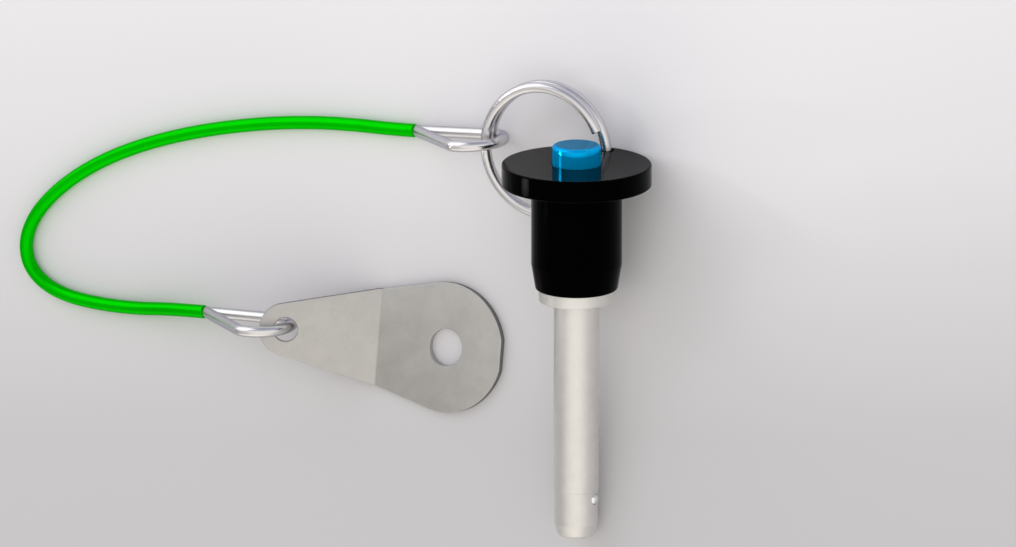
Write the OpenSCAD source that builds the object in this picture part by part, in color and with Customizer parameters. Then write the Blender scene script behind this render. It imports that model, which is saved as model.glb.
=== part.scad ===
// Quick release pin with a press button, a split ring, a lanyard cable and an anchor tab.
// It lies on its side, with the cable and the tab flat beside it.
// The origin is on the pin axis, in the plane of the shoulder that stops against the work.

/* [Shank] */
// Diameter of the shank that fills the hole
shank_d = 10; // [10:0.1:10.4]
// Length of the shank from the shoulder to its tapered tip
shank_len = 50.4; // [48:0.2:60]
// Length from the shoulder to the middle of the locking balls
ball_at = 44.7; // [44.2:0.1:45]
// Diameter of the collar under the handle
collar_d = 16.6; // [15:0.1:17]
// Height of the collar
collar_h = 2.7; // [2:0.1:3.2]
// Diameter of each locking ball
ball_d = 2.6; // [2.5:0.05:2.7]

/* [Handle] */
// Diameter of the handle's body
body_d = 20; // [18.8:0.2:20.4]
// Height of the flange's underside above the shoulder
body_top = 26.1; // [25.6:0.1:27]
// Diameter of the flange
flange_d = 33; // [32:0.2:36]
// Thickness of the flange
flange_t = 4.9; // [4:0.1:5]
// Diameter of the button
button_d = 10.8; // [9.6:0.1:11]
// How far the button stands above the flange
button_out = 4.25; // [4:0.05:5]
// How far the button goes in
button_travel = 3; // [2.6:0.1:3]

/* [Ring] */
// Diameter of the ring's wire
ring_wire = 2.35; // [2:0.05:2.4]
// Radius of the ring at the middle of its wire
ring_r = 14.35; // [14:0.05:14.6]

/* [Lanyard] */
// Diameter of the cable with its jacket
cable_d = 3; // [2.8:0.1:3.2]
// Diameter of the bare rope in the two eyes
rope_d = 2.5; // [2.2:0.1:2.6]
// Length of an eye from the jacket's end to the middle of its bow
eye_len = 25.4; // [25.2:0.2:27]
// Distance between the two legs of an eye
eye_open = 13; // [12.8:0.1:13.4]

/* [Tab] */
// Thickness of the tab's plate
tab_t = 1.5; // [1.2:0.1:1.6]
// Radius of the tab's large end
tab_big_r = 14.5; // [13:0.1:15]
// Radius of the tab's small end
tab_small_r = 5.9; // [5.6:0.1:6.2]
// Diameter of the screw hole in the large end
screw_hole_d = 8.4; // [6.4:0.1:9]
// Diameter of the hole that the cable's eye runs through
eye_hole_d = 5.3; // [5.2:0.1:5.6]
// Angle that the small end is bent up
tab_bend = 30; // [28:1:31]

/* [Hidden] */

steel = [0.8, 0.81, 0.82];
black = [0.06, 0.06, 0.07];
blue = [0, 0.5, 0.78];
green = [0, 0.62, 0.05];
zinc = [0.72, 0.71, 0.68];

// Clearances, and how far pieces of one solid run into each other
press = 0;
slide_gap = 0.1;
ball_gap = 0.05;
overlap = 0.02;

// Shank: the nose is a touch slimmer than the grip, from just above the balls
nose_relief = 0.17;
nose_r = shank_d / 2 - nose_relief;
grip_len = ball_at - 1.9;
tip_len = 3.1;
tip_d = 8.2;
edge = 0.6;
stem_d = 13.4;
stem_h = 15;
bore_d = 5.9;
bore_deep = shank_len - 0.4;

// Locking balls: out by ball_out at rest, drawn in by ball_in when the button is pressed
ball_out = 0.5;
ball_in = 0.6;
ball_r = ball_d / 2;
ball_pos = shank_d / 2 + ball_out - ball_r;
ball_hole_r = ball_r + ball_gap;
lip_at = ball_pos + 0.46;
lip_r = sqrt(ball_r * ball_r - 0.2116) + 0.014;

// Spindle: its ramp lets the balls in as it moves down
spindle_r = ball_pos - ball_r - ball_gap;
spindle_low = -ball_at - 1.8;
ramp_len = button_travel;
waist_r = spindle_r - ball_in;

// Handle
top = body_top + flange_t;
handle_low_r = 9.05;
taper_top = 8.4;
stop_z = 21;
button_bore_d = button_d + 2 * slide_gap;
rim = 0.4;

// Button and spring
button_top = top + button_out;
button_round = 0.9;
button_rim_d = stem_d - 2 * slide_gap - 0.2;
button_rim_h = 1.5;
pocket_top = 29;
pocket_d = 8.6;
spindle_top = 33;
spring_d = 8.2;
spring_wire = 0.9;
spring_turns = 7;

// Ring
ring_step = ring_wire + 0.05;
ring_back = 13.6;
ring_front = ring_back - ring_step;
ring_hole_x = -0.6;
ring_hole_d = ring_wire + 1.05;
ring_x = ring_hole_x + 0.15 - ring_r;
ring_z = top - 1.35;
ring_lift = 3.5;
ring_start = 23.5;
ring_end = 678;
cross_from = 322;
cross_to = 346;

// How the pin lies: on the flange's rim and on the corner above the tip
lean_a = flange_d / 2 - rim - nose_r;
lean_b = body_top + rim + shank_len;
lean = atan2(lean_a, lean_b) + asin(rim / sqrt(lean_a * lean_a + lean_b * lean_b));
floor_z = -shank_len * sin(lean) - nose_r * cos(lean);

// Eyes: a bow, two legs, and a shoulder from which one leg slants to the jacket
eye_rise = 39;
bow_r = 6.2;
shoulder_r = 3;
bend_d = rope_d - 0.02;
slant_d = rope_d - 0.04;
join_s = 1;
turn_h = eye_open - shoulder_r * (1 - cos(eye_rise));
turn_s = join_s + turn_h / tan(eye_rise);
top_s = turn_s + shoulder_r * sin(eye_rise);

// Where the bows of the two eyes stand: round the ring's left side, and in the tab's small hole
ring_left_x = ring_x - ring_r;
ring_bow = [ring_left_x + 3.65, ring_z * cos(lean) + (ring_back - ring_step / 2) * sin(lean) + 1.5];
ring_eye_turn = 5;
ring_eye_up = rope_d / 2 + 0.05;
ring_throat = ring_bow - eye_len * [cos(ring_eye_turn), sin(ring_eye_turn)];
tab_y = -16.5;
tab_hole_x = -74.4;
tab_bow = [tab_hole_x + 0.2, tab_y + 1.4];
tab_eye_turn = 3;
tab_eye_up = 4.5;
tab_throat = tab_bow - eye_len * [cos(tab_eye_turn), sin(tab_eye_turn)];

// Tab: two round ends joined by straight tangents, bent once between them
tab_big_l = 17.3;
tab_small_l = 20.3;
bend_r = 1;
tab_flat_end = tab_big_r - 0.4;
tab_taper = asin((tab_big_r - tab_small_r) / (tab_big_l + tab_small_l));
bend_w = (tab_small_r + tab_small_l * sin(tab_taper)) / cos(tab_taper);
bend_x = tab_hole_x + tab_small_l * cos(tab_bend) + (bend_r + tab_t / 2) * sin(tab_bend);

// Cable: points along its middle as X, Y and height above the floor
cable_up = cable_d / 2;
cable_route = [
  [ring_throat[0], ring_throat[1], ring_eye_up + 0.2],
  [-58, 30.05, cable_up],
  [-66, 29.75, cable_up],
  [-76, 29, cable_up],
  [-87, 27.5, cable_up],
  [-98, 25.3, cable_up],
  [-109, 22.4, cable_up],
  [-119.5, 18.8, cable_up],
  [-129, 14.5, cable_up],
  [-137, 9.6, cable_up],
  [-143.5, 4.1, cable_up],
  [-147.9, -1.6, cable_up],
  [-149.6, -7.2, cable_up],
  [-148.3, -12.2, cable_up],
  [-144.1, -15.9, cable_up],
  [-137.6, -18, cable_up],
  [-129, -18.7, cable_up],
  [-119.5, -18.4, cable_up + 0.4],
  [-109.8, -17.3, cable_up + 1.7],
  [tab_throat[0], tab_throat[1], tab_eye_up + 0.2]
];
steps = 3;

// Smooth curve through four points
function curve(a, b, c, d, t) = 0.5 * (2 * b + (c - a) * t + (2 * a - 5 * b + 4 * c - d) * t * t + (3 * b - a - 3 * c + d) * t * t * t);

// Points along the cable, whose first and last stretches run on from the two eyes
ring_eye_way = [cos(ring_eye_turn), sin(ring_eye_turn), 0];
tab_eye_way = [cos(tab_eye_turn), sin(tab_eye_turn), 0];
function route_point(p, i, t) = curve(i == 0 ? p[0] + 8 * ring_eye_way : p[i - 1], p[i], p[i + 1], i + 2 > len(p) - 1 ? p[i + 1] + 8 * tab_eye_way : p[i + 2], t);
function cable_points(p) = [for (i = [0 : len(p) - 2]) for (k = [0 : steps - 1]) route_point(p, i, k / steps), p[len(p) - 1]];

// Ring's middle line: one layer, a crossing through the flange's hole, then the second layer
function ease(t) = t * t * (3 - 2 * t);
function ring_depth(f) = f < cross_from ? ring_front : f > cross_to ? ring_back : ring_front + ring_step * ease((f - cross_from) / (cross_to - cross_from));
function ring_point(f) = [ring_x + ring_r * cos(f), ring_depth(f), ring_z + ring_r * sin(f)];

// Tube through a list of points: rings of corners square to the path, and the faces between them
function unit(v) = v / norm(v);
function heading(p, i) = unit(p[min(i + 1, len(p) - 1)] - p[max(i - 1, 0)]);
function side_of(t, up) = unit(cross(t, up));
function tube_ring(c, t, up, r, n) = let (s = side_of(t, up), w = cross(s, t)) [for (k = [0 : n - 1]) c + r * cos(360 * k / n) * s + r * sin(360 * k / n) * w];
module tube(p, r, n, up, first, last) {
  m = len(p);
  rings = [for (i = [0 : m - 1]) tube_ring(p[i], i == 0 ? first : i == m - 1 ? last : heading(p, i), up, r, n)];
  polyhedron(
    points = [for (g = rings) each g],
    faces = concat(
      [[for (k = [0 : n - 1]) k]],
      [for (i = [0 : m - 2]) for (k = [0 : n - 1]) [i * n + k, (i + 1) * n + k, (i + 1) * n + (k + 1) % n, i * n + (k + 1) % n]],
      [[for (k = [n - 1 : -1 : 0]) (m - 1) * n + k]]
    ),
    convexity = 8
  );
}

// Puts something drawn about an upright pin axis into the lying pose
module lying() {
  rotate([lean - 90, 0, 0])
    children();
}

// Ring's own place: turned up a little about the flange's hole
module ring_place() {
  lying()
    translate([ring_hole_x, ring_back, 0])
      rotate([0, 0, ring_lift])
        translate([-ring_hole_x, -ring_back, 0])
          children();
}

// Outline of half of a turned piece with rounded outer corners at the top and bottom
module turned(r, low, high, round_low, round_high) {
  translate([0, low + round_low])
    square([r, high - low - round_low - round_high]);
  translate([0, low])
    square([r - round_low, round_low]);
  translate([0, high - round_high])
    square([r - round_high, round_high]);
  translate([r - round_low, low + round_low])
    circle(r = round_low, $fn = 48);
  translate([r - round_high, high - round_high])
    circle(r = round_high, $fn = 48);
}

module handle() {
  color(black)
    lying()
      difference() {
        rotate_extrude($fn = 128) {
          turned(flange_d / 2, body_top, top, rim, rim);
          polygon([[0, collar_h], [handle_low_r - edge, collar_h], [handle_low_r, collar_h + edge], [body_d / 2, taper_top], [body_d / 2, body_top + rim], [0, body_top + rim]]);
        }
        translate([0, 0, collar_h - 1])
          cylinder(d = stem_d + press, h = stop_z - collar_h + 1, $fn = 96);
        translate([0, 0, stop_z - 1])
          cylinder(d = button_bore_d, h = top - stop_z + 2, $fn = 96);
        translate([ring_hole_x, ring_back, body_top - 1])
          cylinder(d = ring_hole_d, h = flange_t + 2, $fn = 48);
      }
}

module ball_seat() {
  rotate([0, 90, 0]) {
    cylinder(r = ball_hole_r, h = lip_at, $fn = 48);
    cylinder(r = lip_r, h = shank_d, $fn = 48);
  }
}

module shank() {
  color(steel)
    lying()
      difference() {
        union() {
          cylinder(d = collar_d, h = collar_h, $fn = 96);
          cylinder(d = stem_d, h = stem_h, $fn = 96);
          translate([0, 0, -grip_len])
            cylinder(d = shank_d, h = grip_len + 1, $fn = 96);
          translate([0, 0, -grip_len - nose_relief])
            cylinder(r1 = nose_r, r2 = shank_d / 2, h = nose_relief, $fn = 96);
          translate([0, 0, -shank_len])
            cylinder(r = nose_r, h = shank_len - grip_len, $fn = 96);
          rotate_extrude($fn = 96)
            polygon([[0, -shank_len], [nose_r, -shank_len], [tip_d / 2 + 0.12, edge - tip_len - shank_len], [tip_d / 2 - 0.45, -tip_len - shank_len], [0, -tip_len - shank_len]]);
        }
        translate([0, 0, -bore_deep])
          cylinder(d = bore_d, h = bore_deep + stem_h + 1, $fn = 64);
        translate([0, 0, -ball_at])
          ball_seat();
        translate([0, 0, -ball_at])
          mirror([1, 0, 0])
            ball_seat();
      }
}

module button() {
  color(blue)
    lying()
      difference() {
        rotate_extrude($fn = 96) {
          turned(button_d / 2, stop_z - button_rim_h, button_top, 0.1, button_round);
          translate([0, stop_z - button_rim_h])
            square([button_rim_d / 2, button_rim_h]);
        }
        translate([0, 0, stop_z - button_rim_h - 1])
          cylinder(d = pocket_d, h = pocket_top - stop_z + button_rim_h + 1, $fn = 64);
        translate([0, 0, pocket_top - 1])
          cylinder(r = spindle_r, h = spindle_top - pocket_top + 1, $fn = 64);
      }
}

module spindle() {
  color(steel)
    lying()
      rotate_extrude($fn = 64)
        polygon([
          [0, spindle_low],
          [spindle_r, spindle_low],
          [spindle_r, -ball_at],
          [waist_r, -ball_at + ramp_len],
          [waist_r, -ball_at + 2 * ramp_len],
          [spindle_r, -ball_at + 2 * ramp_len + 1],
          [spindle_r, spindle_top],
          [0, spindle_top]
        ]);
}

module return_spring() {
  low = stem_h + spring_wire / 2 + 0.05;
  high = pocket_top - spring_wire / 2 - 0.05;
  turns = spring_turns * 360;
  r = (spring_d - spring_wire) / 2;
  line = [for (a = [0 : 18 : turns]) [r * cos(a), r * sin(a), low + (high - low) * a / turns]];
  color(steel)
    lying()
      tube(line, spring_wire / 2, 6, [0, 0, 1], [0, 1, 0], [0, 1, 0]);
}

module ball_right() {
  color(steel)
    lying()
      translate([ball_pos, 0, -ball_at])
        sphere(r = ball_r, $fn = 48);
}

module ball_left() {
  color(steel)
    lying()
      translate([-ball_pos, 0, -ball_at])
        sphere(r = ball_r, $fn = 48);
}

module split_ring() {
  line = [for (f = [ring_start : 9.35 : ring_end]) ring_point(f)];
  color(steel)
    ring_place()
      tube(line, ring_wire / 2, 12, [0, 1, 0], [-sin(ring_start), 0, cos(ring_start)], [-sin(ring_end), 0, cos(ring_end)]);
}

// Straight piece and bent piece of the eye's rope, in the eye's own plane
module rod(a, b, thick) {
  d = b - a;
  translate([a[0], a[1], 0])
    rotate([0, 0, atan2(d[1], d[0])])
      rotate([0, 90, 0])
        cylinder(d = thick, h = norm(d), $fn = 32);
}

module bend(c, r, from, to) {
  translate([c[0], c[1], 0])
    rotate([0, 0, from])
      rotate_extrude(angle = to - from, $fn = 64)
        translate([r, 0])
          circle(d = bend_d, $fn = 32);
}

// Eye from its throat to its bow, standing on edge and leaning as the pin's ring does
module eye(throat, up, turn) {
  translate([throat[0], throat[1], floor_z + up])
    rotate([0, 0, turn])
      rotate([90 + lean, 0, 0]) {
        rod([0, 0], [eye_len - bow_r + overlap, 0], rope_d);
        bend([eye_len - bow_r, bow_r], bow_r, 270, 360);
        rod([eye_len, bow_r - overlap], [eye_len, eye_open - bow_r + overlap], rope_d);
        bend([eye_len - bow_r, eye_open - bow_r], bow_r, 0, 90);
        rod([top_s - overlap, eye_open], [eye_len - bow_r + overlap, eye_open], rope_d);
        bend([top_s, eye_open - shoulder_r], shoulder_r, 90, 90 + eye_rise);
        rod([join_s, 0], [turn_s, turn_h] + overlap * [cos(eye_rise), sin(eye_rise)], slant_d);
      }
}

module ring_eye() {
  color(steel)
    eye(ring_throat, ring_eye_up, ring_eye_turn);
}

module tab_eye() {
  color(steel)
    eye(tab_throat, tab_eye_up, tab_eye_turn);
}

module lanyard_cable() {
  color(green)
    translate([0, 0, floor_z])
      tube(cable_points(cable_route), cable_d / 2, 8, [0, 0, 1], -ring_eye_way, tab_eye_way);
}

// One half of the tab's outline: a round end and the straight sides to the bend
module tab_end(l, r, way) {
  translate([way * l, 0])
    circle(r = r, $fn = 96);
  polygon([
    [-way * overlap, bend_w],
    [way * l - r * sin(tab_taper), r * cos(tab_taper)],
    [way * l - r * sin(tab_taper), -r * cos(tab_taper)],
    [-way * overlap, -bend_w]
  ]);
}

module anchor_tab() {
  color(zinc)
    translate([bend_x, tab_y, floor_z]) {
      difference() {
        linear_extrude(tab_t)
          intersection() {
            tab_end(tab_big_l, tab_big_r, 1);
            translate([0, -tab_big_r - 1])
              square([tab_big_l + tab_flat_end, 2 * tab_big_r + 2]);
          }
        translate([tab_big_l, 0, -1])
          cylinder(d = screw_hole_d, h = tab_t + 2, $fn = 64);
      }
      translate([0, 0, tab_t + bend_r])
        rotate([90, 0, 0])
          linear_extrude(2 * bend_w, center = true)
            intersection() {
              difference() {
                circle(r = tab_t + bend_r, $fn = 64);
                circle(r = bend_r, $fn = 64);
              }
              polygon([[0, 0], [0, -9], [-9 * tan(tab_bend), -9]]);
            }
      translate([0, 0, tab_t + bend_r])
        rotate([0, tab_bend, 0])
          translate([0, 0, -tab_t - bend_r])
            difference() {
              linear_extrude(tab_t)
                tab_end(tab_small_l, tab_small_r, -1);
              translate([-tab_small_l, 0, -1])
                cylinder(d = eye_hole_d, h = tab_t + 2, $fn = 48);
            }
    }
}

handle();
shank();
button();
spindle();
return_spring();
ball_right();
ball_left();
split_ring();
ring_eye();
lanyard_cable();
tab_eye();
anchor_tab();
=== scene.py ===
# %% [markdown]
# # Quick release pin
# A ball lock pin holds two parts together and comes out by hand. Pressing its blue button moves
# a spindle down, the spindle's waist lets two small balls sink into the shank, and the pin slides
# out of its hole. A green cable ties the pin to a tab, so that it can't be lost.
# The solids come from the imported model, in metres, and this script gives them their looks. It makes
# finer copies of the pieces that are seen, each in the place of its solid.

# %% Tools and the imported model
import math

import bmesh
import bpy
import numpy as np
from mathutils import Matrix, Vector


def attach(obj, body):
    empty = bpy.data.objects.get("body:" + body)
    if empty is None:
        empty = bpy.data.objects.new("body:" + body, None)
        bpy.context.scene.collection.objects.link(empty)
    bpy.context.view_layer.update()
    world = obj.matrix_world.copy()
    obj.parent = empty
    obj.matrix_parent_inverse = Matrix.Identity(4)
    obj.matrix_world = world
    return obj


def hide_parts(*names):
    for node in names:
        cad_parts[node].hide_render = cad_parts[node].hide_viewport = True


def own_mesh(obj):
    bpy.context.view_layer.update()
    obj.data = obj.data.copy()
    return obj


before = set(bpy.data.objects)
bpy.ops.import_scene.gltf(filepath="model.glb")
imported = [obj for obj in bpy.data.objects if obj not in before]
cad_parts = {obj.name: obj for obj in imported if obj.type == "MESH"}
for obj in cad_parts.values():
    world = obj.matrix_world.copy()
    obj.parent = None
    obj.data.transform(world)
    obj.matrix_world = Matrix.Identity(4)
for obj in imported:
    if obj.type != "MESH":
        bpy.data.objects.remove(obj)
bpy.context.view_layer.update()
print("solids:", sorted(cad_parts))

# %% [markdown]
# ## Sizes and the lying pose
# The pin can't stand on its tip, so it lies on the rim of its flange and on the corner above the
# tip. It is easier to think of it upright, with its axis along Z, its shoulder at zero and its sizes in
# millimetres. One small function then turns such points into the place where the pin lies.

# %% The pin's lie
MM = 0.001
flange_r, body_top, top = 16.5, 26.1, 31.0
nose_r, shank_len, rim = 4.83, 50.4, 0.4
lean_a, lean_b = flange_r - rim - nose_r, body_top + rim + shank_len
lean = math.atan2(lean_a, lean_b) + math.asin(rim / math.hypot(lean_a, lean_b))
floor_z = -shank_len * math.sin(lean) - nose_r * math.cos(lean)
across_pin = np.array([1.0, 0, 0])
along_pin = np.array([0, math.cos(lean), math.sin(lean)])
under_pin = np.array([0, math.sin(lean), -math.cos(lean)])


def lay(points):
    """Turns points of the upright pin, in millimetres, to where it lies, in metres."""
    p = np.asarray(points, float)
    lying = np.outer(p[:, 0], across_pin) + np.outer(p[:, 1], under_pin) + np.outer(p[:, 2], along_pin)
    return lying * MM


print(f"the axis leans {math.degrees(lean):.3f} degrees, and the floor is at {floor_z:.3f} mm")

# %% [markdown]
# ## Camera
# The pin is seen from a little above the plane across it and from one side. Lying down, that becomes a
# view from above. A long lens far away keeps the view nearly parallel, as a product picture is.

# %% Camera
turn, rise = math.radians(31), math.radians(14.7)
face_out = np.array([0, -math.sin(lean), math.cos(lean)])
right = math.cos(turn) * across_pin - math.sin(turn) * face_out
level = math.cos(turn) * face_out + math.sin(turn) * across_pin
toward = math.cos(rise) * level + math.sin(rise) * along_pin
up = np.cross(toward, right)
aim_right, aim_up = -15.05, 5.85
aim = (aim_right * right + aim_up * up) * MM
lens, sensor_width, picture_width = 600, 36, 223.3
distance = picture_width / sensor_width * lens * MM
camera = bpy.data.objects.new("camera", bpy.data.cameras.new("camera"))
camera.data.lens, camera.data.sensor_width = lens, sensor_width
camera.data.clip_start, camera.data.clip_end = 0.1, 20
turned_to = Matrix([right, up, toward]).transposed().to_4x4()
camera.matrix_world = Matrix.Translation(Vector(aim + distance * toward)) @ turned_to
bpy.context.scene.collection.objects.link(camera)
bpy.context.scene.camera = camera
print("camera at", [round(x, 3) for x in camera.matrix_world.translation])

# %% [markdown]
# ## Shader maths
# A finish is worked out from sums such as `1 - mask * 0.3`. The class below wraps a socket, so that the
# sums can be written that way, and each sign adds its Math node. Every other node comes from `node`.


# %% Sockets that can be added and multiplied
class Value:
    def __init__(self, tree, socket=None):
        self.tree, self.socket = tree, socket

    def node(self, kind, settings=None, inputs=None, output=0):
        """Adds a node: its settings first, then its sockets' values or links."""
        made = self.tree.nodes.new(kind)
        for name, value in (settings or {}).items():
            if name == "stops":
                for i, (place, colour) in enumerate(value):
                    stops = made.color_ramp.elements
                    stop = stops[i] if i < len(stops) else stops.new(place)
                    stop.position, stop.color = place, (*colour, 1)
            else:
                setattr(made, name, value)
        for name, value in (inputs or {}).items():
            if isinstance(value, Value):
                self.tree.links.new(value.socket, made.inputs[name])
            else:
                made.inputs[name].default_value = value
        return Value(self.tree, made.outputs[output])

    def math(self, operation, *values):
        return self.node("ShaderNodeMath", {"operation": operation}, dict(enumerate(values)))

    def __add__(self, other):
        return self.math("ADD", self, other)

    def __sub__(self, other):
        return self.math("SUBTRACT", self, other)

    def __rsub__(self, other):
        return self.math("SUBTRACT", other, self)

    def __mul__(self, other):
        return self.math("MULTIPLY", self, other)

    __radd__ = __add__

    def between(self, low, high):
        """0 below low, 1 above high, and a smooth rise between them."""
        return self.node(
            "ShaderNodeMapRange",
            {"interpolation_type": "SMOOTHSTEP"},
            {"Value": self, "From Min": low, "From Max": high},
        )

    def mix(self, colour_a, colour_b):
        """Colour a where this value is 0, colour b where it is 1."""
        ends = [c if isinstance(c, Value) else (*c, 1) for c in (colour_a, colour_b)]
        sockets = {0: self, 6: ends[0], 7: ends[1]}
        return self.node("ShaderNodeMix", {"data_type": "RGBA"}, sockets, output=2)

    def dot(self, direction):
        """How far the point lies along a direction."""
        sockets = {0: self, 1: list(direction)}
        return self.node("ShaderNodeVectorMath", {"operation": "DOT_PRODUCT"}, sockets, output="Value")

    def place(self):
        """The point on the piece, in metres."""
        return self.node("ShaderNodeTexCoord", output="Object")

    def noise(self, size, detail=2.0, rough=0.5, stretch=(1, 1, 1)):
        """Cloudy noise from 0 to 1 whose patches are about size millimetres wide."""
        sockets = {0: self.place(), 1: [1 / s for s in stretch]}
        point = self.node("ShaderNodeVectorMath", {"operation": "MULTIPLY"}, sockets)
        sockets = {"Vector": point, "Scale": 1 / (size * MM), "Detail": detail, "Roughness": rough}
        return self.node("ShaderNodeTexNoise", None, sockets)

    def lines(self, size, detail=1.0):
        """Noise that changes only with this value, so that it draws lines about size millimetres wide."""
        sockets = {"W": self, "Scale": 1 / (size * MM), "Detail": detail}
        return self.node("ShaderNodeTexNoise", {"noise_dimensions": "1D"}, sockets)


def srgb(*numbers):
    """A colour as a picture shows it, from 0 to 255, as the light values that a shader takes."""
    shares = [n / 255 for n in numbers]
    return tuple(c / 12.92 if c <= 0.04045 else ((c + 0.055) / 1.055) ** 2.4 for c in shares)


def new_finish(name, fixed):
    """A material whose fixed numbers sit on the shader itself, and the start of its sums."""
    material = bpy.data.materials.new(name)
    material.use_nodes = True
    shader = material.node_tree.nodes["Principled BSDF"]
    for socket, value in fixed.items():
        shader.inputs[socket].default_value = value
    return material, Value(material.node_tree), shader


def feed(shader, bump_depth=0, height=None, **values):
    """Links what changes over the surface to the shader. The bump's depth is in millimetres."""
    for name, value in values.items():
        value.tree.links.new(value.socket, shader.inputs[name.replace("_", " ")])
    if height:
        sockets = {"Height": height, "Strength": 1, "Distance": bump_depth * MM}
        bump = height.node("ShaderNodeBump", None, sockets)
        height.tree.links.new(bump.socket, shader.inputs["Normal"])


print("one colour as light:", [round(c, 3) for c in srgb(214, 209, 202)])

# %% [markdown]
# ## Finishes of the turned pieces
# The handle, the button and the shank come off a lathe, so their tool marks run round the axis. A sum of
# the place along the axis and the distance from it changes across every turned surface, on a flat face
# as on a cylinder, and noise on that one number draws rings that always follow the tool.


# %% Coordinates of a turned piece
def turned_place(start):
    """How far the tool has come at a point of the piece, then the point's height and radius, in metres."""
    point = start.place()
    x, y, z = point.dot(across_pin), point.dot(under_pin), point.dot(along_pin)
    squares = x * x + y * y
    radius = squares.math("SQRT", squares)
    return z + radius, z, radius


# %% [markdown]
# ### Black anodised aluminium
# Anodising leaves a hard clear layer over a deep black dye. It is close to black seen straight on, and it
# mirrors the room only at a flat angle. A low IOR and a dark specular tint keep the barrel black, while the
# top of the flange still shines. Fingers leave dull patches, and the sharp rims of the flange are rubbed
# a little paler.

# %% Black anodised finish
black, start, shader = new_finish("black anodised", {"IOR": 1.09, "Specular Tint": (0.15, 0.15, 0.2, 1)})
path, height, radius = turned_place(start)
tool_lines = path.lines(0.16, 2)
fingers = start.noise(9, 3).between(0.45, 0.75)
rubbed = start.noise(0.5, 4, 0.7).between(0.5, 0.72)
wear_starts, worn_rim, worn_face = 0.3, 0.06, 0.1
at_rim = radius.between((flange_r - wear_starts) * MM, (flange_r - worn_rim) * MM)
half_flange = (top - body_top) / 2
off_middle = height - (body_top + top) / 2 * MM
off_middle = off_middle.math("ABSOLUTE", off_middle)
at_faces = off_middle.between((half_flange - wear_starts) * MM, (half_flange - worn_face) * MM)
dyed = tool_lines.mix((0.0002, 0.0002, 0.0003), (0.0008, 0.0008, 0.001))
feed(
    shader,
    0.0006,
    tool_lines,
    Base_Color=(rubbed * at_rim * at_faces).mix(dyed, (0.02, 0.02, 0.022)),
    Roughness=0.045 + fingers * 0.06 + tool_lines * 0.03,
)
print("black finish:", len(black.node_tree.nodes), "nodes")

# %% [markdown]
# ### Blue anodised aluminium
# The button is dyed blue, so that the hand finds it. The dye is a touch uneven. The round of its rim is
# rubbed paler in specks, and the flat top inside the rim is painted a darker, greyer blue: painted shade
# of how the top takes the light.

# %% Blue anodised finish
button_r, button_top = 5.4, 35.25
blue, start, shader = new_finish(
    "blue anodised", {"Metallic": 0.5, "IOR": 1.09, "Specular Tint": (0.15, 0.42, 0.62, 1)}
)
path, height, radius = turned_place(start)
tool_lines = path.lines(0.14, 2)
dye = start.noise(2.5, 3)
rubbed = start.noise(0.6, 4, 0.7).between(0.52, 0.75)
rubbed = rubbed * radius.between((button_r - 0.9) * MM, (button_r - 0.4) * MM)
rubbed = rubbed * height.between((button_top - 1.05) * MM, (button_top - 0.25) * MM)
# painted shade: the flat top inside the rim is mixed towards a darker, greyer blue
shaded_top = height.between((button_top - 0.1) * MM, (button_top - 0.03) * MM)
shaded_top = shaded_top * (1 - radius.between((button_r - 1.1) * MM, (button_r - 0.5) * MM))
dyed = dye.mix(srgb(0, 170, 236), srgb(0, 180, 246))
base = (shaded_top * 0.85).mix(dyed, srgb(70, 138, 172))
feed(
    shader,
    0.0008,
    tool_lines,
    Base_Color=(rubbed * 0.5).mix(base, srgb(120, 180, 214)),
    Roughness=0.05 + start.noise(5, 3).between(0.4, 0.8) * 0.05 + tool_lines * 0.02,
)
print("blue finish:", len(blue.node_tree.nodes), "nodes")

# %% [markdown]
# ### Turned steel
# The shank is turned and ground stainless steel. Its marks are finer than a hair, so they show as a soft
# streak along the cylinder. Sliding in and out of its hole scratches it lengthwise.

# %% Turned steel finish
turned_steel, start, shader = new_finish("turned steel", {"Metallic": 0.85})
path = turned_place(start)[0]
tool_lines = path.lines(0.11, 3)
clouds = start.noise(3.2, 4, 0.6)
scratches = start.noise(0.35, 3, 0.6, stretch=(1, 30, 30)).between(0.62, 0.8)
base = (clouds * 0.6 + tool_lines * 0.4).mix(srgb(208, 206, 202), srgb(236, 234, 230))
feed(
    shader,
    0.0015,
    tool_lines + scratches * -0.6,
    Base_Color=(scratches * 0.35).mix(base, srgb(170, 168, 165)),
    Roughness=0.3 + clouds * 0.12 + tool_lines * 0.08,
)
print("turned steel finish:", len(turned_steel.node_tree.nodes), "nodes")

# %% [markdown]
# ## Finishes of the wire, the cable and the tab
# The ring and the eyes are bright drawn wire, with soft clouds and short scratches from handling. The
# cable's jacket is clear green plastic over bright rope, so it is partly metallic and its shine is green
# too. The tab is sheet steel with a zinc plating, whose crystals make soft cloudy patches. Its cut edges
# show the streaks of the shear, and their darker grey is painted shade along the tab's rim.

# %% Bright wire finish
polished, start, shader = new_finish("polished steel", {"Metallic": 1.0, "Specular Tint": (0.6, 0.6, 0.7, 1)})
clouds = start.noise(2.5, 3)
scratches = start.noise(0.22, 3, 0.65).between(0.6, 0.8)
feed(
    shader,
    0.0012,
    scratches * -1 + start.noise(0.9, 2) * 0.8,
    Base_Color=(clouds * 0.7 + scratches * 0.3).mix(srgb(222, 221, 222), srgb(206, 204, 204)),
    Roughness=0.2 + clouds * 0.08 + scratches * 0.1,
)

# %% Spring steel and ball finishes
spring_steel, start, shader = new_finish("spring steel", {"Metallic": 1.0})
clouds = start.noise(1.2, 3)
feed(
    shader,
    0.001,
    start.noise(0.2, 3),
    Base_Color=clouds.mix(srgb(150, 148, 146), srgb(190, 186, 180)),
    Roughness=0.25 + clouds * 0.15,
)
ball_steel, start, shader = new_finish("hardened ball steel", {"Metallic": 1.0})
clouds = start.noise(0.8, 3)
feed(
    shader,
    0.0006,
    start.noise(0.15, 3),
    Base_Color=clouds.mix(srgb(226, 226, 228), srgb(240, 240, 242)),
    Roughness=0.06 + clouds * 0.08,
)

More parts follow.
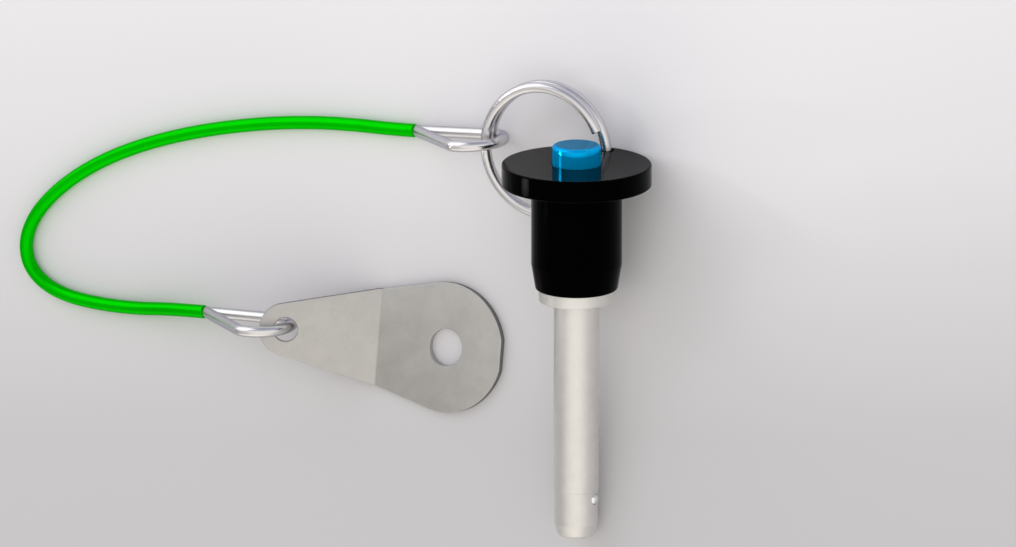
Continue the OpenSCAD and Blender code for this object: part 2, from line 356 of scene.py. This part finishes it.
# %% Green jacket finish
jacket, start, shader = new_finish(
    "green jacket", {"Metallic": 0.6, "IOR": 1.12, "Specular Tint": (0.3, 0.5, 0.3, 1)}
)
clouds = start.noise(4, 3)
dust = start.noise(0.4, 4, 0.7).between(0.62, 0.85)
green = clouds.mix(srgb(0, 192, 0), srgb(0, 206, 0))
feed(
    shader,
    0.01,
    start.noise(1.6, 2) + start.noise(0.25, 2) * 0.12,
    Base_Color=(dust * 0.08).mix(green, srgb(60, 196, 56)),
    Roughness=0.2 + clouds * 0.1 + dust * 0.2,
)

# %% Zinc plate finish
zinc, start, shader = new_finish("zinc plate", {"Metallic": 0.9})
cloud = start.noise(5.5, 5, 0.62)
grain = start.noise(0.7, 4, 0.6)
scratches = start.noise(0.3, 3, 0.6, stretch=(18, 1.4, 1)).between(0.66, 0.82)
crystals = (cloud * 0.75 + grain * 0.25).between(0.25, 0.75)
plated = crystals.mix(srgb(179, 178, 175), srgb(192, 190, 186))
feed(
    shader,
    0.004,
    grain + scratches * -0.5,
    Base_Color=(scratches * 0.25).mix(plated, srgb(208, 206, 202)),
    Roughness=0.38 + cloud * 0.12,
)
# painted shade: the cut edges are a darker grey than the plating, over the streaks of the shear
cut_edge_and_shade, start, shader = new_finish("sheared edge and painted shade", {"Metallic": 0.8})
streaks = start.noise(0.25, 3, 0.6, stretch=(1, 1, 8))
feed(
    shader,
    0.01,
    streaks,
    Base_Color=streaks.mix(srgb(96, 96, 98), srgb(150, 149, 148)),
    Roughness=0.35 + streaks * 0.2,
)
finishes = (black, blue, turned_steel, polished, spring_steel, ball_steel, jacket, zinc, cut_edge_and_shade)
print("finishes:", [finish.name for finish in finishes])

# %% [markdown]
# ## Meshes that shade well
# A finished piece is one closed mesh with its place in its points. Its faces are smooth, and an edge
# is kept sharp only where the faces beside it meet at a real corner.


# %% Making a piece from points and faces
def finish_mesh(mesh, corner=32):
    """Merges doubled points, turns faces outwards and marks the corners sharp."""
    made = bmesh.new()
    made.from_mesh(mesh)
    bmesh.ops.remove_doubles(made, verts=made.verts, dist=1e-7)
    bmesh.ops.recalc_face_normals(made, faces=made.faces)
    for edge in made.edges:
        edge.smooth = len(edge.link_faces) == 2 and edge.calc_face_angle(0) < math.radians(corner)
    for face in made.faces:
        face.smooth = True
    made.to_mesh(mesh)
    made.free()
    return mesh


def piece(name, mesh, material, body, node):
    """Puts a mesh in the scene in the place of its solid."""
    mesh.name = name
    made = bpy.data.objects.new(name, mesh)
    bpy.context.scene.collection.objects.link(made)
    if not mesh.materials:
        mesh.materials.append(material)
    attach(made, body)
    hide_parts(node)
    print(f"{name}: {sum(len(p.vertices) - 2 for p in mesh.polygons)} triangles")
    return made


# %% [markdown]
# ## Lathe work
# A turned piece is its outline swept round the axis. The outline is written as corners, each with the
# radius of its rounding. Real edges are never knife sharp, and the thin line of light on a
# rounded rim is much of what makes metal look real. A guard point stands just before and after
# each arc, so that the flat faces beside it stay flat in the shading.


# %% Outline with rounded corners
def rounded(corners, closed):
    """Points of an outline of (radius, height, rounding) corners."""
    points, count, guard, step = [], len(corners), 0.03, 12
    for i, (r, z, bend) in enumerate(corners):
        here = np.array([r, z], float)
        if not bend or (not closed and i in (0, count - 1)):
            points.append(here)
            continue
        back = np.array(corners[i - 1][:2], float) - here
        ahead = np.array(corners[(i + 1) % count][:2], float) - here
        back, ahead = back / np.linalg.norm(back), ahead / np.linalg.norm(ahead)
        half = math.acos(np.clip(back @ ahead, -1, 1)) / 2
        reach = bend / math.tan(half)
        middle = here + (back + ahead) / np.linalg.norm(back + ahead) * bend / math.sin(half)
        first, last = here + back * reach - middle, here + ahead * reach - middle
        sweep = math.pi - 2 * half
        steps = max(3, round(math.degrees(sweep) / step))
        side = math.copysign(1, first[0] * last[1] - first[1] * last[0])
        points.append(here + back * (reach + guard))
        for k in range(steps + 1):
            a = side * sweep * k / steps
            turn_by = np.array([[math.cos(a), -math.sin(a)], [math.sin(a), math.cos(a)]])
            points.append(middle + turn_by @ first)
        points.append(here + ahead * (reach + guard))
    return points


def swept(outline, around, closed=False):
    """Points and faces of an outline of (radius, height) points, swept round Z."""
    turns = [2 * math.pi * k / around for k in range(around)]
    points = [(r * math.cos(a), r * math.sin(a), z) for r, z in outline for a in turns]
    rows = [(i, (i + 1) % len(outline)) for i in range(len(outline) - (0 if closed else 1))]
    faces = [
        (i * around + k, i * around + (k + 1) % around, j * around + (k + 1) % around, j * around + k)
        for i, j in rows
        for k in range(around)
    ]
    return points, faces


def lathe(corners, closed=False, around=192):
    """A mesh of an outline of corners, swept round the pin's axis."""
    points, faces = swept(rounded(corners, closed), around, closed)
    mesh = bpy.data.meshes.new("turned")
    mesh.from_pydata(lay(points), [], faces)
    return finish_mesh(mesh)


# %% [markdown]
# ## Holes
# The ring's hole in the flange, the ball seats and the tab's two holes are drilled: a Boolean takes a
# cylinder away. The drill has a flare at each face, which leaves the small chamfer of a deburred hole.


# %% Drilling
def drill(mesh, centre, axis, radius, length, flare):
    """Cuts a round hole through a mesh. Its place and sizes are in millimetres, where the piece lies."""
    past = 3
    far, wide, straight = length / 2 + past, radius + flare + past, length / 2 - flare
    outline = [(0, -far), (wide, -far), (radius, -straight), (radius, straight), (wide, far), (0, far)]
    points, faces = swept(outline, 64)
    turn_to = Vector(axis).normalized().to_track_quat("Z", "Y").to_matrix()
    tool = bpy.data.meshes.new("drill")
    tool.from_pydata([(turn_to @ Vector(p) + Vector(centre)) * MM for p in points], [], faces)
    drill_object = bpy.data.objects.new("drill", finish_mesh(tool))
    work = bpy.data.objects.new("work", mesh)
    for made in (drill_object, work):
        bpy.context.scene.collection.objects.link(made)
    cut = work.modifiers.new("hole", "BOOLEAN")
    cut.operation, cut.solver, cut.object = "DIFFERENCE", "EXACT", drill_object
    bpy.context.view_layer.update()
    evaluated = work.evaluated_get(bpy.context.evaluated_depsgraph_get())
    drilled = bpy.data.meshes.new_from_object(evaluated)
    bpy.data.objects.remove(work)
    bpy.data.objects.remove(drill_object)
    print(f"drilled a hole {2 * radius:.2f} mm wide")
    return finish_mesh(drilled)


# %% [markdown]
# ## Handle
# The handle is one turned piece: a plain barrel that tapers at its lower end, and a wide flange that the
# fingers pull on while the thumb presses the button. The split ring runs through a hole near its rim.

# %% Handle
low_r, body_r, taper_top, collar_h = 9.05, 10.0, 8.4, 2.7
stem_r, stop_z, button_bore_r = 6.7, 21.0, 5.5
handle_corners = [
    (stem_r, collar_h, 0),
    (low_r, collar_h, 0.55),
    (body_r, taper_top, 1.2),
    (body_r, body_top, 0.25),
    (flange_r, body_top, rim),
    (flange_r, top, rim),
    (button_bore_r, top, 0.18),
    (button_bore_r, stop_z, 0),
    (stem_r, stop_z, 0),
]
ring_hole, ring_hole_r = (-0.6, 13.6), 1.7
handle_mesh = lathe(handle_corners, closed=True, around=256)
hole_centre = lay([[*ring_hole, (body_top + top) / 2]])[0] / MM
handle_mesh = drill(handle_mesh, hole_centre, along_pin, ring_hole_r, top - body_top, flare=0.22)
piece("handle_turned", handle_mesh, black, "pin", "handle")

# %% [markdown]
# ## Shank
# The shank is the steel part: a stem inside the handle, a collar that stops the pin on the work, and the
# long grip that fills the hole. Below it the nose is a hair slimmer, holds the ball seats and
# ends in a taper that finds the hole.

# %% Shank
collar_r, shank_r, grip_len, stem_h, bore_r = 8.3, 5.0, 42.8, 15.0, 2.95
nose_relief, tip_z, bore_z = 0.17, -53.5, 0.4 - shank_len
shank_corners = [
    (0, tip_z, 0),
    (3.65, tip_z, 0.35),
    (4.22, tip_z + 0.6, 0.35),
    (nose_r, -shank_len, 0.5),
    (nose_r, -grip_len - nose_relief, 0),
    (shank_r, -grip_len, 0),
    (shank_r, 0, 0.15),
    (collar_r, 0, 0.25),
    (collar_r, collar_h, 0.15),
    (stem_r, collar_h, 0),
    (stem_r, stem_h, 0.3),
    (bore_r, stem_h, 0.2),
    (bore_r, bore_z, 0),
    (0, bore_z, 0),
]
ball_r, ball_pos, ball_z = 1.3, 4.2, -44.7
seat_pos, seat_r, seat_deep = 4, 1.24, 1.8
shank_mesh = lathe(shank_corners)
for way in (1, -1):
    seat = lay([[way * seat_pos, 0, ball_z]])[0] / MM
    shank_mesh = drill(shank_mesh, seat, way * across_pin, seat_r, seat_deep, flare=0.02)
piece("shank_turned", shank_mesh, turned_steel, "pin", "shank")

# %% [markdown]
# ## Button, balls and spindle
# The button has a wide foot that keeps it in the handle, and a hollow for the spring. The two balls are
# bought parts and nearly perfect spheres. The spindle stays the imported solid, because it is out of sight.

# %% Button
foot_r, foot_z = 6.5, stop_z - 1.5
hollow_r, hollow_z, socket_r, socket_z = 4.3, 29, 2.85, 33
button_corners = [
    (0, button_top, 0),
    (button_r, button_top, 0.8),
    (button_r, stop_z, 0.1),
    (foot_r, stop_z, 0.2),
    (foot_r, foot_z, 0.2),
    (hollow_r, foot_z, 0.1),
    (hollow_r, hollow_z, 0.3),
    (socket_r, hollow_z, 0),
    (socket_r, socket_z, 0),
    (0, socket_z, 0),
]
piece("button_turned", lathe(button_corners), blue, "button", "button")

# %% Balls and spindle
ball_steps = 24
half_turn = [math.pi * k / ball_steps for k in range(ball_steps + 1)]
arc = [(ball_r * math.sin(a), -ball_r * math.cos(a), 0) for a in half_turn]
for side, way in (("right", 1), ("left", -1)):
    ball = lathe(arc, around=2 * ball_steps)
    ball.transform(Matrix.Translation(Vector(lay([[way * ball_pos, 0, ball_z]])[0])))
    piece(f"lock_ball_{side}", ball, ball_steel, f"ball_{side}", f"ball_{side}")
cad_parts["spindle"].data.materials.clear()
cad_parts["spindle"].data.materials.append(turned_steel)

# %% [markdown]
# ## Wire work
# The split ring, the two eyes, the cable and the spring are all one thing to a maker: round wire
# that follows a line. So one Geometry Nodes tree makes them all. It takes a line, sweeps a circle along it,
# closes its ends and gives it its finish. Each line is worked out in Python from the piece's own sizes,
# and the last points of a line are thinner, which breaks the edge of the cut wire.


# %% A tree that sweeps a wire along a line
def wire_tree():
    tree = bpy.data.node_groups.new("wire along a line", "GeometryNodeTree")
    for name, kind in (("Line", "Geometry"), ("Diameter", "Float"), ("Sides", "Int"), ("Finish", "Material")):
        tree.interface.new_socket(name, in_out="INPUT", socket_type=f"NodeSocket{kind}")
    tree.interface.new_socket("Wire", in_out="OUTPUT", socket_type="NodeSocketGeometry")
    start = Value(tree)
    given = tree.nodes.new("NodeGroupInput")
    line, diameter, sides, finish = (Value(tree, given.outputs[i]) for i in range(4))
    sockets = {"Resolution": sides, "Radius": diameter * 0.5}
    circle = start.node("GeometryNodeCurvePrimitiveCircle", {"mode": "RADIUS"}, sockets)
    thickness = start.node("GeometryNodeInputRadius")
    sockets = {"Curve": line, "Profile Curve": circle, "Scale": thickness, "Fill Caps": True}
    solid = start.node("GeometryNodeCurveToMesh", None, sockets)
    smooth = start.node("GeometryNodeSetShadeSmooth", None, {0: solid})
    whole = start.node("GeometryNodeRealizeInstances", None, {0: smooth})
    coated = start.node("GeometryNodeSetMaterial", None, {"Geometry": whole, "Material": finish})
    end = tree.nodes.new("NodeGroupOutput")
    tree.links.new(coated.socket, end.inputs[0])
    return tree


wire_group = wire_tree()
print("wire tree:", [n.bl_idname for n in wire_group.nodes])


# %% A wire as a plain mesh
def wire(points, diameter, material, sides=32, chamfer=0.12):
    """Sweeps a wire along points in metres. Both ends are cut square, with a small chamfer."""
    p = np.asarray(points, float)
    ends = [p[0] + (p[1] - p[0]) / np.linalg.norm(p[1] - p[0]) * chamfer * MM]
    ends.append(p[-1] + (p[-2] - p[-1]) / np.linalg.norm(p[-2] - p[-1]) * chamfer * MM)
    p = np.vstack([p[:1], ends[0], p[1:-1], ends[1], p[-1:]])
    line = bpy.data.curves.new("line", "CURVE")
    line.dimensions = "3D"
    spline = line.splines.new("POLY")
    spline.points.add(len(p) - 1)
    for point, place in zip(spline.points, p):
        point.co, point.radius = (*place, 1), 1
    for tip in (spline.points[0], spline.points[-1]):
        tip.radius = 1 - 2 * chamfer / (diameter / MM)
    made = bpy.data.objects.new("line", line)
    bpy.context.scene.collection.objects.link(made)
    modifier = made.modifiers.new("wire", "NODES")
    modifier.node_group = wire_group
    ids = {s.name: s.identifier for s in wire_group.interface.items_tree if s.in_out == "INPUT"}
    modifier[ids["Diameter"]], modifier[ids["Sides"]] = diameter, sides
    modifier[ids["Finish"]] = material
    bpy.context.view_layer.update()
    mesh = bpy.data.meshes.new_from_object(made.evaluated_get(bpy.context.evaluated_depsgraph_get()))
    bpy.data.objects.remove(made)
    length = np.linalg.norm(np.diff(p, axis=0), axis=1).sum()
    print(f"wire {diameter / MM:.2f} mm thick and {length / MM:.1f} mm long")
    return finish_mesh(mesh)


# %% [markdown]
# ## Split ring
# The ring is a key ring: spring wire wound almost one and a half times round. One layer lies beside the
# other, the wire crosses from one to the other inside the flange's hole, and its far end lies in the
# rope's eye. It stands a few degrees up, so that its left side rests near the floor.

# %% Split ring
ring_wire, ring_r, ring_lift = 2.35, 14.35, math.radians(3.5)
ring_step = ring_wire + 0.05
ring_back = ring_hole[1]
ring_front = ring_back - ring_step
past_hole, below_top = 0.15, 1.35
ring_x, ring_z = ring_hole[0] + past_hole - ring_r, top - below_top
first_angle, last_angle, cross_from, cross_to = 23.5, 543.5, 322.0, 346.0
ring_points = 210


def ring_place(points):
    """Turns points of the ring about the middle of the flange's hole."""
    p = np.array(points, float) - [*ring_hole, 0]
    c, s = math.cos(ring_lift), math.sin(ring_lift)
    p = np.stack([c * p[:, 0] - s * p[:, 1], s * p[:, 0] + c * p[:, 1], p[:, 2]], 1)
    return lay(p + [*ring_hole, 0])


def ring_point(degrees):
    """A point on the wire's middle line, which goes over from the front layer to the back one."""
    t = min(max((degrees - cross_from) / (cross_to - cross_from), 0), 1)
    depth = ring_front + ring_step * t * t * (3 - 2 * t)
    a = math.radians(degrees)
    return [ring_x + ring_r * math.cos(a), depth, ring_z + ring_r * math.sin(a)]


ring_line = [ring_point(degrees) for degrees in np.linspace(first_angle, last_angle, ring_points)]
ring_mesh = wire(ring_place(ring_line), ring_wire * MM, polished)
piece("ring_wire", ring_mesh, polished, "ring", "split_ring")

# %% [markdown]
# ## Eyes of the lanyard
# At each end the bare rope comes out of the jacket, goes through its partner and returns to the jacket as a
# long loop. One leg runs straight on from the cable and the other turns in at an angle.

# %% Eyes
rope_d, eye_len, eye_open = 2.5, 25.4, 13.0
bow_r, shoulder_r, eye_rise = 6.2, 3.0, math.radians(39)
join_s, in_jacket, slant_from = 1.0, 2.5, 0.15
turn_h = eye_open - shoulder_r * (1 - math.cos(eye_rise))
turn_s = join_s + turn_h / math.tan(eye_rise)
top_s = turn_s + shoulder_r * math.sin(eye_rise)


def bend(s, h, radius, first, last, steps=18):
    """Points on one bend of the eye, from one angle to another."""
    angles = np.radians(np.linspace(first, last, steps + 1))
    return [(s + radius * math.cos(a), h + radius * math.sin(a)) for a in angles]


def eye_line(throat, height, turned):
    """The eye's middle line in metres. It stands on edge, and leans as the pin's ring does."""
    path = [(-in_jacket, 0), *bend(eye_len - bow_r, bow_r, bow_r, -90, 0)]
    path += [*bend(eye_len - bow_r, eye_open - bow_r, bow_r, 0, 90)]
    path += [*bend(top_s, eye_open - shoulder_r, shoulder_r, 90, 90 + math.degrees(eye_rise))]
    path += [(slant_from, 0)]
    c, s = math.cos(turned), math.sin(turned)
    along = np.array([c, s, 0])
    across = np.array([s * math.sin(lean), -c * math.sin(lean), math.cos(lean)])
    return [(np.array([*throat, floor_z + height]) + far * along + h * across) * MM for far, h in path]


def throat_of(bow, turned):
    """Where the jacket ends, from where the bow stands."""
    return [bow[0] - eye_len * math.cos(turned), bow[1] - eye_len * math.sin(turned)]


def eye(name, throat, height, turned):
    """One eye of bare rope, as a piece."""
    mesh = wire(eye_line(throat, height, turned), rope_d * MM, polished, chamfer=0.02)
    return piece(f"{name}_rope", mesh, polished, "lanyard", name)


ring_eye_turn, ring_eye_up = math.radians(5), rope_d / 2 + 0.05
ring_layers_y = ring_z * math.cos(lean) + (ring_back - ring_step / 2) * math.sin(lean)
inside_ring, beside_middle = 3.65, 1.5
ring_bow = (ring_x - ring_r + inside_ring, ring_layers_y + beside_middle)
ring_throat = throat_of(ring_bow, ring_eye_turn)
tab_hole, tab_eye_turn, tab_eye_up = (-74.4, -16.5), math.radians(3), 4.5
tab_bow = (tab_hole[0] + 0.2, tab_hole[1] + 1.4)
tab_throat = throat_of(tab_bow, tab_eye_turn)
ring_eye = eye("ring_eye", ring_throat, ring_eye_up, ring_eye_turn)
tab_eye = eye("tab_eye", tab_throat, tab_eye_up, tab_eye_turn)
print("throats:", [round(x, 2) for x in (*ring_throat, *tab_throat)])

# %% [markdown]
# ## Cable
# The cable is thin steel rope in a green plastic jacket. It is stiff, so it leaves both eyes straight, lies
# on the floor and comes round in one wide bow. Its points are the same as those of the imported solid, as X,
# Y and height above the floor, and a smooth curve runs through them.

# %% Cable
cable_d = 3.0
cable_up = cable_d / 2
cable_route = [
    [*ring_throat, ring_eye_up + 0.2],
    [-58, 30.05, cable_up],
    [-66, 29.75, cable_up],
    [-76, 29, cable_up],
    [-87, 27.5, cable_up],
    [-98, 25.3, cable_up],
    [-109, 22.4, cable_up],
    [-119.5, 18.8, cable_up],
    [-129, 14.5, cable_up],
    [-137, 9.6, cable_up],
    [-143.5, 4.1, cable_up],
    [-147.9, -1.6, cable_up],
    [-149.6, -7.2, cable_up],
    [-148.3, -12.2, cable_up],
    [-144.1, -15.9, cable_up],
    [-137.6, -18, cable_up],
    [-129, -18.7, cable_up],
    [-119.5, -18.4, cable_up + 0.4],
    [-109.8, -17.3, cable_up + 1.7],
    [*tab_throat, tab_eye_up + 0.2],
]


def smooth_route(route, steps):
    """A smooth curve through the points, whose ends run on from the two eyes."""
    p = np.array(route, float)
    lead = 8
    before = p[0] + [lead * math.cos(ring_eye_turn), lead * math.sin(ring_eye_turn), 0]
    after = p[-1] + [lead * math.cos(tab_eye_turn), lead * math.sin(tab_eye_turn), 0]
    p = np.vstack([before, p, after])
    made = []
    for a, b, c, d in zip(p, p[1:], p[2:], p[3:]):
        bow, twist = 2 * a - 5 * b + 4 * c - d, 3 * b - a - 3 * c + d
        for t in np.arange(steps) / steps:
            made.append(0.5 * (2 * b + (c - a) * t + bow * t**2 + twist * t**3))
    return (np.array([*made, p[-2]]) + [0, 0, floor_z]) * MM


cable_line = smooth_route(cable_route, 12)
cable_mesh = wire(cable_line, cable_d * MM, jacket, chamfer=0.1)
cable = piece("cable_jacket", cable_mesh, jacket, "lanyard", "lanyard_cable")

# %% [markdown]
# ## Return spring
# A coil spring under the button pushes it back out. Its line is a helix, closer wound at its two ends,
# where a real spring's coils lie on each other to give it a flat foot.

# %% Return spring
spring_low, spring_high, spring_turns, spring_wire, spring_r = 15.5, 28.5, 8, 0.9, 3.65
spring_len, end_climb, steps_a_turn = spring_high - spring_low, 0.95, 24
turns_made = np.linspace(0, spring_turns, steps_a_turn * spring_turns + 1)
turn_marks = [0, 1, spring_turns - 1, spring_turns]
height_marks = [0, end_climb, spring_len - end_climb, spring_len]
heights = spring_low + np.interp(turns_made, turn_marks, height_marks)
angles = 2 * math.pi * turns_made
spring_line = np.stack([spring_r * np.cos(angles), spring_r * np.sin(angles), heights], 1)
spring_mesh = wire(lay(spring_line), spring_wire * MM, spring_steel, sides=16)
spring = piece("spring_wire", spring_mesh, spring_steel, "pin", "return_spring")
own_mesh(spring)

# %% [markdown]
# ## Tab
# The tab is stamped from sheet and bent once. It is drawn flat here, as a press tool would cut it: two round
# ends joined by straight sides. The rim is broken a little, the strip across the bend is cut into
# narrow steps, and every point is then carried round the bend. The holes are drilled last.

# %% Flat blank of the tab
tab_t, big_r, small_r, big_l, small_l = 1.5, 14.5, 5.9, 17.3, 20.3
bend_r, bend_angle, bend_run = 1.0, math.radians(30), 0.9
taper = math.asin((big_r - small_r) / (big_l + small_l))
screw_hole_r, eye_hole_r, flat_deep = 4.2, 2.65, 0.4
big_end = bend_run + big_l
flat_end = big_end + big_r - flat_deep
flat_from = math.acos((big_r - flat_deep) / big_r)
big_arc = np.linspace(math.pi / 2 + taper, flat_from, 40)
small_arc = np.linspace(math.pi / 2 + taper, math.pi, 20)
half = [(big_end + big_r * math.cos(a), big_r * math.sin(a)) for a in big_arc[::-1]]
bend_w = (small_r + small_l * math.sin(taper)) / math.cos(taper)
half += [(bend_run, bend_w), (0, bend_w)]
half += [(-small_l + small_r * math.cos(a), small_r * math.sin(a)) for a in small_arc]
outline = half + [(x, -y) for x, y in half[-2::-1]]
print("blank:", len(outline), "corners,", round(flat_end + small_l + small_r, 2), "mm long")


# %% Bending and drilling the tab
tab_bend_x = tab_hole[0] + small_l * math.cos(bend_angle) + (bend_r + tab_t / 2) * math.sin(bend_angle)


def bent(x, y, z):
    """Carries a point of the flat blank round the bend, to its place on the floor."""
    angle = min(max((bend_run - x) / bend_run, 0), 1) * bend_angle
    reach = bend_r + tab_t - z
    past = max(-x, 0)
    place = [max(x - bend_run, 0) - reach * math.sin(angle) - past * math.cos(angle), y]
    place.append(tab_t + bend_r - reach * math.cos(angle) + past * math.sin(angle))
    return Vector((tab_bend_x + place[0], tab_hole[1] + place[1], floor_z + place[2])) * MM


rim_break, bend_cuts, beside_bend = 0.14, 11, 0.03
blank = bmesh.new()
base = blank.faces.new([blank.verts.new((x, y, 0)) for x, y in outline])
raised = bmesh.ops.extrude_face_region(blank, geom=[base])["geom"]
raised = [part for part in raised if isinstance(part, bmesh.types.BMVert)]
bmesh.ops.translate(blank, verts=raised, vec=(0, 0, tab_t))
bmesh.ops.recalc_face_normals(blank, faces=blank.faces)
rims = [e for e in blank.edges if abs(e.verts[0].co.z - e.verts[1].co.z) < 1e-6]
bmesh.ops.bevel(blank, geom=rims, offset=rim_break, segments=3, affect="EDGES", profile=0.5)
for cut in np.linspace(-beside_bend, bend_run + beside_bend, bend_cuts):
    geometry = [*blank.verts, *blank.edges, *blank.faces]
    bmesh.ops.bisect_plane(blank, geom=geometry, plane_co=(cut, 0, 0), plane_no=(1, 0, 0))
for face in blank.faces:
    # the side faces take the cut edge finish, whose darker grey is painted shade
    face.material_index = int(abs(face.normal.z) < 0.5)
for vert in blank.verts:
    vert.co = bent(*vert.co)
tab_mesh = bpy.data.meshes.new("tab")
blank.to_mesh(tab_mesh)
blank.free()
for finish in (zinc, cut_edge_and_shade):
    tab_mesh.materials.append(finish)
tab_mesh = finish_mesh(tab_mesh)
flat_middle = [tab_bend_x + big_l, tab_hole[1], floor_z + tab_t / 2]
tab_mesh = drill(tab_mesh, flat_middle, (0, 0, 1), screw_hole_r, tab_t, flare=0.16)
small_middle = bent(-small_l, 0, tab_t / 2) / MM
small_up = (math.sin(bend_angle), 0, math.cos(bend_angle))
tab_mesh = drill(tab_mesh, small_middle, small_up, eye_hole_r, tab_t, flare=0.16)
piece("tab_plate", tab_mesh, zinc, "tab", "anchor_tab")

# %% [markdown]
# ## Floor and light
# The floor is a plain pale sheet with painted shade: its grey deepens towards the near side, as light
# falls off on a studio sweep. The room is a soft dome. It is bright behind the camera, brightest and warm
# on the near side, and a little lilac on the far side, so that bright metal gets a cool and a warm tone. One
# large lamp adds soft shadows. Two small lamps with a narrow beam stand close to the button: the low one
# draws the thin line of light on its side, and the high one draws that line's mirror image in the top of the
# flange.

# %% Floor
floor_with_painted_shade, start, shader = new_finish("floor with painted shade", {"Roughness": 0.55, "IOR": 1.3})
# painted shade: the floor's grey deepens towards the bottom of the picture
down_picture, pale_at, deep_at = start.place().dot(-up), -0.066, 0.055
sockets = {"Value": down_picture, "From Min": pale_at, "From Max": deep_at}
share = start.node("ShaderNodeMapRange", None, sockets)
greys = ((0, 243), (0.3, 234), (0.5, 222), (0.8, 208), (1, 207))
stops = [(place, srgb(grey, grey - 1, grey + 1)) for place, grey in greys]
feed(shader, Base_Color=start.node("ShaderNodeValToRGB", {"stops": stops}, {0: share}))
floor_mesh = bpy.data.meshes.new("floor")
floor_half, floor_gap = 6.0, 0.02
corners = [(x * floor_half, y * floor_half) for x, y in ((-1, -1), (1, -1), (1, 1), (-1, 1))]
floor_mesh.from_pydata([(x, y, (floor_z - floor_gap) * MM) for x, y in corners], [], [(0, 1, 2, 3)])
floor_mesh.materials.append(floor_with_painted_shade)
floor = bpy.data.objects.new("floor", floor_mesh)
bpy.context.scene.collection.objects.link(floor)

# %% Room light
world = bpy.data.worlds.new("studio")
world.use_nodes = True
bpy.context.scene.world = world
start = Value(world.node_tree)
looking = start.node("ShaderNodeTexCoord", output="Generated")
behind_camera = looking.dot(toward).between(0.1, 0.95)
far_side = looking.dot([0, 1, 0]).between(0.1, 0.85)
near_side = looking.dot([0, -1, 0]).between(0.5, 0.95)
dim, bright = (0.44, 0.43, 0.43), (1.14, 1.11, 1.065)
lilac, warm = (0.4, 0.41, 0.52), (1.3, 1.24, 1.15)
dome = near_side.mix(far_side.mix(behind_camera.mix(dim, bright), lilac), warm)
background = world.node_tree.nodes["Background"]
world.node_tree.links.new(dome.socket, background.inputs["Color"])
background.inputs["Strength"].default_value = 1


def lamp(name, middle, direction, distance, size, power, along, spread=180):
    """A rectangular lamp that looks at a point. Its second side runs along the given direction.

    The spread is the angle of its beam, in degrees.
    """
    light = bpy.data.lights.new(name, "AREA")
    light.shape, light.size, light.size_y, light.energy = "RECTANGLE", *size, power
    light.spread = math.radians(spread)
    made = bpy.data.objects.new(name, light)
    way = Vector(direction).normalized()
    side = Vector(along).cross(way).normalized()
    turned = Matrix([side, way.cross(side), way]).transposed().to_4x4()
    made.matrix_world = Matrix.Translation(Vector(middle) + way * distance) @ turned
    bpy.context.scene.collection.objects.link(made)
    print(f"{name}: {power / (math.pi * size[0] * size[1]):.2f} W per square metre and steradian")


lamp("key lamp", (-0.05, 0, 0), (-0.7, 0.65, 0.5), distance=3.2, size=(3, 3), power=32, along=(0, 1, 0))
streak_turn, streak_z, streak_far, streak_wide, power_a_metre = math.radians(85), 36.1, 0.3, 0.075, 0.08
streak_way = math.cos(streak_turn) * level - math.sin(streak_turn) * right
streak_face = math.cos(streak_turn / 2) * level - math.sin(streak_turn / 2) * right
streak_spot = lay([[0, 0, streak_z]])[0] + button_r * MM * streak_face
for name, climb, tall in (("low streak lamp", -rise, 0.01), ("high streak lamp", rise, 0.02)):
    way = math.cos(climb) * streak_way + math.sin(climb) * along_pin
    size, power = (streak_wide, tall), power_a_metre * tall
    lamp(name, streak_spot, way, streak_far, size, power, along_pin, spread=24)

# %% Picture settings
bpy.context.scene.view_settings.view_transform = "Standard"
